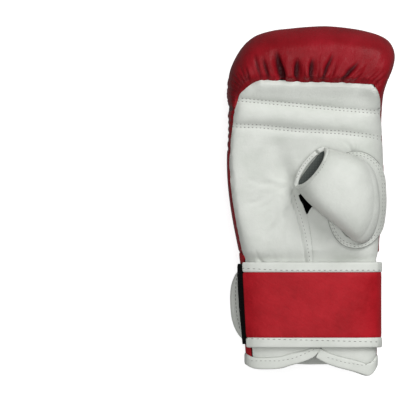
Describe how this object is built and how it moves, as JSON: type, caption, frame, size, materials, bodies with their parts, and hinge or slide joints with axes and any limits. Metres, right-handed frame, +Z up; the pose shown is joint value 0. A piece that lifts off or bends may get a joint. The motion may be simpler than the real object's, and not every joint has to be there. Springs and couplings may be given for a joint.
{
  "type": "punching glove",
  "caption": "Padded bag glove in red and white leather with gathered fingertips, an open-tipped thumb and a wide wrap-round wrist strap, lying palm up on its back.",
  "frame": {"origin": "middle of the flat that the padded back rests on", "axes": "+X to the thumb side, +Y to the fingertips, +Z up, out of the palm"},
  "size_m": [0.1283, 0.2674, 0.075],
  "materials": {
    "red_leather": "satin, lightly grained",
    "white_leather": "satin, lightly creased",
    "white_binding": "satin, folded strip",
    "black_lining": "matte woven",
    "black_loop": "matte looped pile",
    "dark_label": "matte, plain",
    "white_tape": "matte satin tape, plain"
  },
  "bodies": {
    "root": {"back_pad": "red_leather", "hand_lining": "black_lining", "palm_panel": "white_leather", "thumb_gusset": "white_leather", "thumb_patch": "white_leather", "thumb_sleeve": "white_leather", "thumb_tip_binding": "white_binding", "cuff_back": "red_leather", "cuff_flap_pinky": "white_leather", "cuff_flap_thumb": "white_leather", "hem_binding": "white_binding", "strap": "red_leather", "strap_binding": "white_binding", "loop_patch": "black_loop", "label_patch": "dark_label", "size_tag": "white_tape"}
  },
  "joints": []
}
